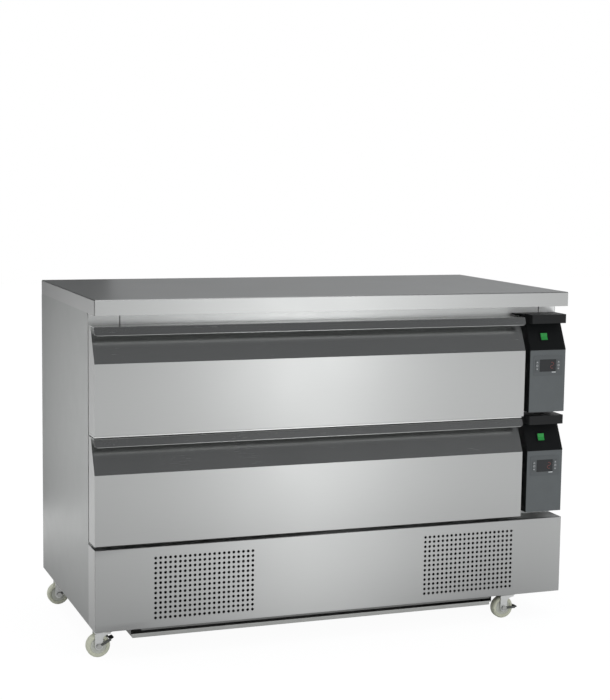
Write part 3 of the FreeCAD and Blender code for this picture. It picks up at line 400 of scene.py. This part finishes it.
def joined(*shapes):
    vertices = []
    faces = []
    for more, sides in shapes:
        start = len(vertices)
        vertices += list(more)
        faces += [tuple(start + i for i in side) for side in sides]
    return vertices, faces


def moved(shape, by, turn=0):
    # turn: degrees about the Y axis, before the move
    spin = Matrix.Rotation(math.radians(turn), 3, "Y")
    vertices, faces = shape
    return [spin @ Vector(v) + Vector(by) for v in vertices], faces


def foldedSheet(path, thick, left, right, inset=None):
    # path: points across a bent sheet's outer face; its thickness lies to the right of the way along it
    points = [Vector(p) for p in path]
    vertices = []
    faces = []
    far = 0
    for i, point in enumerate(points):
        before = points[max(i - 1, 0)]
        after = points[min(i + 1, len(points) - 1)]
        ahead = (after - before).normalized()
        inner = point + Vector((ahead.y, -ahead.x)) * thick
        far += (point - before).length
        draw = inset(far) if inset else 0
        for x in (left + draw, right - draw):
            vertices.append((x, point.x, point.y))
            vertices.append((x, inner.x, inner.y))
    for i in range(len(points) - 1):
        a = 4 * i
        b = a + 4
        faces += [(a, a + 2, b + 2, b), (a + 1, b + 1, b + 3, a + 3)]
        faces += [(a, b, b + 1, a + 1), (a + 2, a + 3, b + 3, b + 2)]
    last = 4 * (len(points) - 1)
    faces += [(0, 1, 3, 2), (last, last + 2, last + 3, last + 1)]
    return vertices, faces


# Drawer fronts: a face with a leaning band over it, and a handle lip with its hem
drawer = {"sheet": 1.2 * mm, "bend": 187 * mm, "run": 46 * mm, "lip": 22 * mm, "lean": 9 * mm,
          "corner": 8 * mm, "hem": 6 * mm, "roll": 2.4 * mm, "fold": 1.6 * mm, "lipSteps": 12, "rollSteps": 6}


def makeDrawerFront(level):
    node = "drawer_skin_" + level
    low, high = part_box(node)
    sheet, run, corner, top = drawer["sheet"], drawer["run"], drawer["corner"], high.z
    bend = (low.y, low.z + drawer["bend"])
    facePath = rounded([(high.y, low.z), (low.y, low.z), bend], drawer["fold"])
    face = foldedSheet(facePath, sheet, low.x, high.x)
    band = foldedSheet([bend, (low.y + run, top - sheet)], sheet, low.x, high.x)

    # the lip, from its hem over the rolled edge and up the slant to the fold at the top
    lipLow = Vector((low.y, top - drawer["lip"]))
    lipTop = Vector((low.y + drawer["lean"], top))
    steps = drawer["lipSteps"]
    slant = [tuple(lipLow + (lipTop - lipLow) * i / steps) for i in range(2, steps - 1)]
    hem = (low.y + drawer["hem"], lipLow.y)
    roll = rounded([hem, tuple(lipLow), slant[0]], drawer["roll"], drawer["rollSteps"])
    lipPath = roll[:-1] + slant[:-1] + rounded([slant[-1], tuple(lipTop), (high.y, top)], drawer["fold"])

    def cornerInset(far):
        reach = min(max(corner + drawer["hem"] - far, 0), corner)
        return corner - math.sqrt(corner ** 2 - reach ** 2)

    lip = foldedSheet(lipPath, sheet, low.x, high.x, cornerInset)

    # the end plates fill the section behind the face and the band
    slope = run / (top - sheet - low.z - drawer["bend"])
    stretch = math.sqrt(1 + slope * slope)
    bendIn = low.z + drawer["bend"] - sheet * (stretch - 1) / slope
    over = sheet * stretch
    end = [(high.y, low.z + sheet), (low.y + sheet, low.z + sheet), (low.y + sheet, bendIn),
           (low.y + run + over, top - sheet), (high.y, top - sheet)]
    ends = [prism(end, low.x, low.x + sheet, "x"), prism(end, high.x - sheet, high.x, "x")]
    body = "drawer_" + level
    piece("drawerSheet_" + level, joined(face, *ends), steelX, body, [node])
    piece("drawerBand_" + level, joined(band, lip), bandSteel, body)


trim = {"tall": 3.6 * mm, "inset": 12 * mm, "side": 1.5 * mm, "edge": 0.6 * mm}


def makeFrameTrim():
    # a folded strip of the front frame that shows in the gap between the two drawers
    first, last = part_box("drawer_skin_lower")
    middle = (last.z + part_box("drawer_skin_upper")[0].z) / 2
    low, high = middle - trim["tall"] / 2, middle + trim["tall"] / 2
    front, back = first.y + trim["inset"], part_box("front_frame")[0].y
    strip = [(back, low), (front, low), (front, high), (back, high)]
    shape = prism(strip, first.x + trim["side"], last.x, "x")
    soften(piece("frameTrim", shape, steelLitFrame, "cabinet", smooth=False), trim["edge"])


for level in ("lower", "upper"):
    makeDrawerFront(level)
makeFrameTrim()
print("drawer fronts")

# Plinth: folded sheet with two grilles of round holes
plinth = {"columns": 21, "rows": 13, "pitch": 13.4 * mm, "hole": 3.9 * mm, "sheet": 1.2 * mm, "steps": 20,
          "leftMid": 296 * mm, "rightMid": 294 * mm, "height": 107 * mm, "flange": 15 * mm, "fold": 1.5 * mm,
          "foldSteps": 4, "near": 0.0001 * mm}


def grilleCell(x, z, front):
    # a square of sheet round one hole, and the hole's wall
    half, hole, steps = plinth["pitch"] / 2, plinth["hole"], plinth["steps"]
    vertices = []
    faces = []
    for i in range(steps):
        angle = 2 * math.pi * (i + 0.5) / steps
        across, up = math.cos(angle), math.sin(angle)
        far = half / max(abs(across), abs(up))
        vertices.append((x + far * across, front, z + far * up))
        vertices.append((x + hole * across, front, z + hole * up))
        vertices.append((x + hole * across, front + plinth["sheet"], z + hole * up))
    for i in range(steps):
        a = 3 * i
        b = 3 * ((i + 1) % steps)
        faces.append((a, b, b + 1, a + 1))
        faces.append((a + 1, b + 1, b + 2, a + 2))
        upright = [abs(abs(vertices[k][0] - x) - half) < plinth["near"] for k in (a, b)]
        if upright[0] != upright[1]:
            # one end on an upright side and one on a level side: the square's corner lies between
            middle = ((vertices[a][0] + vertices[b][0]) / 2 - x, (vertices[a][2] + vertices[b][2]) / 2 - z)
            vertices.append((x + math.copysign(half, middle[0]), front, z + math.copysign(half, middle[1])))
            faces.append((a, b, len(vertices) - 1))
    return vertices, faces


def panel(x0, z0, x1, z1, y):
    return [(x0, y, z0), (x1, y, z0), (x1, y, z1), (x0, y, z1)], [(0, 1, 2, 3)]


def makePlinth():
    low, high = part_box("plinth_front")
    front, pitch, fold = low.y, plinth["pitch"], plinth["fold"]
    columns, rows = plinth["columns"], plinth["rows"]
    mids = (low.x + plinth["leftMid"], high.x - plinth["rightMid"])
    level = low.z + plinth["height"]
    wide, tall = columns * pitch / 2, rows * pitch / 2
    shapes = []
    for mid in mids:
        for column in range(columns):
            for row in range(rows):
                x = mid + (column - (columns - 1) / 2) * pitch
                shapes.append(grilleCell(x, level + (row - (rows - 1) / 2) * pitch, front))
    left, right, bottom, top = low.x + fold, high.x - fold, low.z + fold, high.z - fold
    marks = [left, mids[0] - wide, mids[0] + wide, mids[1] - wide, mids[1] + wide, right]
    for start, end in zip(marks, marks[1:]):
        shapes.append(panel(start, bottom, end, level - tall, front))
        shapes.append(panel(start, level + tall, end, top, front))
    for start, end in ((0, 1), (2, 3), (4, 5)):
        shapes.append(panel(marks[start], level - tall, marks[end], level + tall, front))

    # a rounded fold round the face, and the sides behind it
    corners = [(left, bottom, -1, -1), (right, bottom, 1, -1), (right, top, 1, 1), (left, top, -1, 1)]
    rings = []
    for i in range(plinth["foldSteps"] + 1):
        angle = math.pi / 2 * i / plinth["foldSteps"]
        out = fold * math.sin(angle)
        back = fold * (1 - math.cos(angle))
        rings.append([(x + dx * out, front + back, z + dz * out) for x, z, dx, dz in corners])
    rings.append([(x + dx * fold, high.y, z + dz * fold) for x, z, dx, dz in corners])
    for ring, after in zip(rings, rings[1:]):
        for i in range(4):
            j = (i + 1) % 4
            quad = [ring[i], ring[j], after[j], after[i]]
            if after is rings[-1] and i == 0:
                # underneath there is only a narrow flange
                deep = front + plinth["flange"]
                quad = [ring[i], ring[j], (ring[j][0], deep, low.z), (ring[i][0], deep, low.z)]
            shapes.append((quad, [(0, 1, 2, 3)]))
    piece("plinthSheet", joined(*shapes), steelX, "cabinet", ["plinth_front"])


makePlinth()
print("plinth with its grilles")

# Controls: marks on the keys, a digit in each window and a pale bar under it
keyMark = {"reach": 4.2 * mm, "step": 10 * mm, "arrow": 0.75, "ringOut": 0.75, "ringIn": 0.45,
           "ink": (0.42, 0.43, 0.43), "rough": 0.42, "grain": 0.0006, "depth": 0.00003, "strength": 0.3}
digit = {"tall": 17 * mm, "wide": 9 * mm, "stroke": 1.9 * mm, "gap": 0.5 * mm, "shift": 14 * mm,
         "windowFront": 1.2 * mm}
bar = {"wide": 13 * mm, "tall": 2 * mm, "side": 26 * mm, "below": 18.5 * mm, "bezelFront": 0.8 * mm}
markDeep = 0.15 * mm


def keyFinish(name, x, z):
    # an arrow up, a ring and an arrow down, drawn in paler ink
    paint = Paint(name, Roughness=keyMark["rough"])
    where = paint.axes()
    across, up = abs(where[0] - x), where[2] - z
    reach, step = keyMark["reach"], keyMark["step"]
    raised = step + reach / 2 - up
    lowered = up + step + reach / 2
    arrows = [(across < side * keyMark["arrow"]) * (side < reach) for side in (raised, lowered)]
    apart = paint.maths("SQRT", across * across + up * up)
    ring = (apart < reach * keyMark["ringOut"]) * (apart > reach * keyMark["ringIn"])
    inked = paint.maths("MINIMUM", arrows[0] + arrows[1] + ring, 1)
    paint.set("Base Color", paint.blend(inked, bezelColor, keyMark["ink"]))
    paint.bump(paint.noise(keyMark["grain"], detail=2), keyMark["depth"], keyMark["strength"])
    return paint.material


def slab(x0, z0, x1, z1, front):
    back = front + markDeep
    return prism([(x0, front), (x1, front), (x1, back), (x0, back)], z0, z1, "z")


def makeDigit(level, x, z, front):
    # strokes of a seven-part figure, here a two
    wide, tall = digit["wide"] / 2, digit["tall"] / 2
    half, gap = digit["stroke"] / 2, digit["gap"]
    left, right = x - wide + half + gap, x + wide - half - gap
    shapes = [slab(left, z + up - half, right, z + up + half, front) for up in (-tall, 0, tall)]
    for side, start, end in ((-wide, -tall, 0), (wide, 0, tall)):
        low, high = z + start + half + gap, z + end - half - gap
        shapes.append(slab(x + side - half, low, x + side + half, high, front))
    piece("digit_" + level, joined(*shapes), redDigit, "cabinet", smooth=False)


def makeControls(level):
    for side in ("left", "right"):
        key = "key_%s_%s" % (side, level)
        first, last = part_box(key)
        coat(nodes[key], keyFinish(key + "_ink", (first.x + last.x) / 2, (first.z + last.z) / 2))
    first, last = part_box("key_left_" + level)[0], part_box("key_right_" + level)[1]
    x, z, front = (first.x + last.x) / 2, (first.z + last.z) / 2, first.y
    makeDigit(level, x + digit["shift"], z, front + digit["windowFront"] - markDeep)
    right, top = x + bar["side"], z - bar["below"]
    shape = slab(right - bar["wide"], top - bar["tall"], right, top, front + bar["bezelFront"] - markDeep)
    piece("paleBar_" + level, shape, paleMarkGlow, "cabinet", smooth=False)


for level in ("lower", "upper"):
    makeControls(level)
print("controls")

# Casters
wheel = {"radius": 31.5 * mm, "half": 12 * mm, "hub": 21 * mm, "rim": 2 * mm, "edgeOver": 4 * mm,
         "edgeIn": 3 * mm, "shoulder": 4 * mm, "dish": 2.5 * mm, "boss": 8 * mm, "bossStep": 1 * mm,
         "bore": 4.3 * mm}
fork = {"legIn": 13.2 * mm, "legOut": 15.7 * mm, "crownLow": 33.7 * mm, "crownTop": 36.2 * mm,
        "legRight": 32 * mm, "legDrop": 2 * mm, "eye": 10.5 * mm, "curve": 13.4 * mm, "curveOut": 14 * mm,
        "curveUp": 16 * mm, "curveEnd": 100, "edge": 0.5 * mm}
axle = {"across": 13 * mm, "radius": 4 * mm, "headIn": 17.8 * mm, "headOut": 20.8 * mm, "edge": 0.4 * mm}
strap = {"near": 16.0 * mm, "far": 17.5 * mm, "half": 3.4 * mm, "reach": 36 * mm, "cross": 1.5 * mm,
         "rise": 28, "edge": 0.3 * mm}
pedal = {"half": 10 * mm, "back": 3 * mm, "long": 10 * mm, "thick": 4 * mm, "hump": 2 * mm, "toe": 2 * mm,
         "toeUp": 1.5 * mm, "nose": 1 * mm, "edge": 0.8 * mm}


def wheelCentre(corner):
    first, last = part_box("caster_wheel_" + corner)
    return (first + last) / 2


def mirrored(side):
    return [(-along, radius) for along, radius in side] + side[::-1]


def makeWheel(corner):
    node = "caster_wheel_" + corner
    half, radius, hub = wheel["half"], wheel["radius"], wheel["hub"]
    inner, step = half - wheel["dish"], wheel["boss"] + wheel["bossStep"]
    tread = mirrored([(inner, hub), (half, hub + wheel["rim"]), (half, radius - wheel["edgeIn"]),
                      (half - wheel["edgeOver"], radius)])
    shape = lathe(rounded(tread, wheel["shoulder"]), wheelCentre(corner), 72)
    piece("tread_" + corner, shape, treadCream, node, [node])
    disc = mirrored([(half, wheel["bore"]), (half, wheel["boss"]), (inner, step), (inner, hub)])
    shape = lathe(disc + disc[:1], wheelCentre(corner), 48)
    piece("hub_" + corner, shape, hubGrey, node)


def makeFork(corner):
    node = "caster_fork_" + corner
    centre = wheelCentre(corner)
    top, low, eye = fork["crownTop"], fork["crownLow"], fork["eye"]
    left, right = -eye, fork["legRight"]
    leg = [(left, top)] + arcPoints((0, 0), eye, 180, 360, 20)
    leg += arcPoints((eye + fork["curveOut"], fork["curveUp"]), fork["curve"], 180, fork["curveEnd"], 8)
    leg += [(right, low - fork["legDrop"]), (right, top)]
    inner, outer = fork["legIn"], fork["legOut"]
    crown = [(left, low), (right, low), (right, top), (left, top)]
    legs = [prism(leg, -outer, -inner, "y"), prism(leg, inner, outer, "y")]
    shape = joined(*legs, prism(crown, -inner, inner, "y"))
    soften(piece("fork_" + corner, moved(shape, centre), zincLight, node, [node]), fork["edge"])
    hexagon = arcPoints((0, 0), axle["across"] / math.sqrt(3), 0, 300, 5)
    near, far = axle["headIn"], axle["headOut"]
    rod = lathe([(-near, axle["radius"]), (near, axle["radius"])], (0, 0, 0), 24)
    shape = joined(prism(hexagon, -far, -near, "y"), prism(hexagon, near, far, "y"), rod)
    soften(piece("axle_" + corner, moved(shape, centre), zinc, node), axle["edge"])


def makeBrake(corner):
    node = "caster_brake_" + corner
    centre = wheelCentre(corner)
    turn = 0 if corner == "front_right" else -strap["rise"]  # the front right one lies level
    half, reach, near, far = strap["half"], strap["reach"], strap["near"], strap["far"]
    arm = [(reach, -half), (reach, half)] + arcPoints((0, 0), half, 90, 270, 12)
    start = reach - strap["cross"]
    cross = [(start, -half), (reach, -half), (reach, half), (start, half)]
    shape = joined(prism(arm, -far, -near, "y"), prism(arm, near, far, "y"), prism(cross, -near, near, "y"))
    made = piece("brakeStrap_" + corner, moved(shape, centre, turn), strapZinc, node, [node])
    soften(made, strap["edge"])
    back, tip, thick = reach - pedal["back"], reach + pedal["long"], pedal["thick"]
    tab = [(back, -half), (tip - pedal["toe"], -half), (tip, pedal["toeUp"] - half),
           (tip - pedal["nose"], thick - half), (back, thick + pedal["hump"] - half)]
    shape = moved(prism(tab, -pedal["half"], pedal["half"], "y"), centre, turn)
    soften(piece("brakeTab_" + corner, shape, blackPlastic, node), pedal["edge"])


for corner in ("front_left", "front_right", "rear_left", "rear_right"):
    makeWheel(corner)
    makeFork(corner)
    makeBrake(corner)
print("casters")

# Stage, lights and camera
skyLook = {"fill": (0.96, 0.98, 1), "strength": 0.7, "lean": 1.2, "level": 0.6,
           "dome": [(0.0, (1, 1, 1)), (0.05, (0.84, 0.85, 0.86)), (0.16, (0.50, 0.505, 0.51)),
                    (0.42, (0.10, 0.102, 0.104)), (0.62, (0.125, 0.127, 0.130)),
                    (0.74, (0.205, 0.208, 0.212)), (0.92, (0.28, 0.284, 0.288))]}


def seenWhite(paint):
    seen = paint.ray("Camera") + paint.ray("Glossy") + paint.ray("Transmission")
    return paint.maths("MINIMUM", seen, 1)


def makeSky():
    # white for the camera; steel mirrors a dome that is white low down and brighter to the right
    world = bpy.data.worlds.new("studio")
    bpy.context.scene.world = world
    world.use_nodes = True
    world.node_tree.nodes.clear()
    paint = Paint("sky", world.node_tree)
    look = {"Color": (*skyLook["fill"], 1), "Strength": skyLook["strength"]}
    fill = paint.node("ShaderNodeBackground", {}, look)
    direction = paint.node("ShaderNodeTexCoord").outputs["Generated"]
    towards = paint.node("ShaderNodeSeparateXYZ", {}, {0: direction})
    across, up = Wire(paint, towards.outputs[0]), Wire(paint, towards.outputs[2])
    seen = paint.ray("Camera")
    color = paint.blend(seen, paint.ramp(up, skyLook["dome"]), (1, 1, 1))
    strength = seen + (1 - seen) * (across * skyLook["lean"] + skyLook["level"])
    shown = paint.node("ShaderNodeBackground", {}, {"Color": color, "Strength": strength})
    inputs = {0: seenWhite(paint), 1: fill.outputs[0], 2: shown.outputs[0]}
    mixed = paint.node("ShaderNodeMixShader", {}, inputs)
    paint.node("ShaderNodeOutputWorld", {}, {0: mixed.outputs[0]})


def stageSheet(name, corners, paint):
    mesh = bpy.data.meshes.new(name)
    mesh.from_pydata(corners, [], [(0, 1, 2, 3)])
    mesh.materials.append(paint.material)
    thing = bpy.data.objects.new(name, mesh)
    bpy.context.scene.collection.objects.link(thing)
    return thing


# near: painted shade that darkens the floor round the object, seen only in reflections
floorLook = {"size": 12, "rough": 0.9, "cloud": 0.8, "dark": (0.80, 0.80, 0.80),
             "light": (0.84, 0.84, 0.84), "halfWide": 0.69, "halfDeep": 0.35, "beside": 0.25, "glow": 1.06,
             "mirrorGlow": 0.14, "share": 0.90,
             "near": [(0.0, (0.12, 0.12, 0.12)), (0.25, (0.40, 0.40, 0.40)), (0.9, (1, 1, 1))]}


def makeFloor():
    # reflections see painted shade on the floor near the object; the camera sees it white
    paint = Paint("paleFloor", Roughness=floorLook["rough"])
    cloud = paint.noise(floorLook["cloud"])
    paint.set("Base Color", paint.blend(cloud, floorLook["dark"], floorLook["light"]))
    where = paint.axes()
    across, deep = abs(where[0]) - floorLook["halfWide"], abs(where[1]) - floorLook["halfDeep"]
    away = paint.maths("MAXIMUM", across + floorLook["beside"], deep)
    inMirror = paint.ray("Glossy")
    # painted shade near the object, for glossy rays only
    tone = paint.blend(inMirror, (1, 1, 1), paint.ramp(away, floorLook["near"]))
    strength = inMirror * floorLook["mirrorGlow"] + floorLook["glow"]
    glow = paint.node("ShaderNodeEmission", {}, {"Color": tone, "Strength": strength})
    inputs = {0: seenWhite(paint) * floorLook["share"], 1: paint.shader.outputs[0], 2: glow.outputs[0]}
    mix = paint.node("ShaderNodeMixShader", {}, inputs)
    paint.feed(paint.tree.nodes["Material Output"].inputs[0], mix.outputs[0])
    size = floorLook["size"]
    stageSheet("floor", [(-size, -size, 0), (size, -size, 0), (size, size, 0), (-size, size, 0)], paint)


cardLook = {"left": -1.03, "right": -0.2, "behind": 1.5, "top": 1.7, "cloud": 0.5, "dark": (0.16, 0.16, 0.16),
            "light": (0.20, 0.20, 0.20)}


def makeCard():
    # a grey card behind the left side, seen only in reflections
    paint = Paint("greyCardPaint", Roughness=1.0, Specular_IOR_Level=0.0)
    cloud = paint.noise(cardLook["cloud"])
    paint.set("Base Color", paint.blend(cloud, cardLook["dark"], cardLook["light"]))
    left, right, behind, top = cardLook["left"], cardLook["right"], cardLook["behind"], cardLook["top"]
    corners = [(left, behind, 0), (right, behind, 0), (right, behind, top), (left, behind, top)]
    card = stageSheet("greyCard", corners, paint)
    card.visible_camera = False
    card.visible_diffuse = False
    card.visible_shadow = False


lamps = {
    "frontCard": {"place": (1.31, -4.15, 0.88), "target": (0.0, -0.35, 0.5), "size": (0.5, 2.0), "power": 16},
    "overhead": {"place": (-0.2, 0.15, 3.4), "target": (-0.2, 0.1, 0.4), "size": (2.6, 1.5), "power": 26},
    "sideLight": {"place": (-1.35, 1.7, 0.7), "target": (-0.7, -0.1, 0.5), "size": (0.5, 1.2), "power": 0.5},
}


def makeLamp(name, place, target, size, power):
    light = bpy.data.lights.new(name, "AREA")
    light.shape = "RECTANGLE"
    light.size, light.size_y = size
    light.energy = power
    thing = bpy.data.objects.new(name, light)
    thing.location = place
    thing.rotation_euler = (Vector(target) - Vector(place)).to_track_quat("-Z", "Y").to_euler()
    thing.visible_camera = False
    bpy.context.scene.collection.objects.link(thing)


view = {"place": (-1.5465, -4.2226, 1.2939), "yaw": 20.415, "pitch": -6.787, "roll": 0.79, "lens": 80.27,
        "sensor": 36}


def makeCamera():
    data = bpy.data.cameras.new("camera")
    data.lens = view["lens"]
    data.sensor_width = view["sensor"]
    thing = bpy.data.objects.new("camera", data)
    yaw, pitch, roll = (math.radians(view[angle]) for angle in ("yaw", "pitch", "roll"))
    ahead = Vector((math.sin(yaw) * math.cos(pitch), math.cos(yaw) * math.cos(pitch), math.sin(pitch)))
    right = ahead.cross(Vector((0, 0, 1))).normalized()
    up = right.cross(ahead)
    turnedRight = right * math.cos(roll) + up * math.sin(roll)
    turnedUp = up * math.cos(roll) - right * math.sin(roll)
    axes = Matrix((turnedRight, turnedUp, -ahead)).transposed()
    thing.matrix_world = Matrix.Translation(view["place"]) @ axes.to_4x4()
    bpy.context.scene.collection.objects.link(thing)
    bpy.context.scene.camera = thing


makeSky()
makeFloor()
makeCard()
for name, settings in lamps.items():
    makeLamp(name, **settings)
makeCamera()
bpy.context.scene.view_settings.view_transform = "Standard"
print("stage, lights and camera")
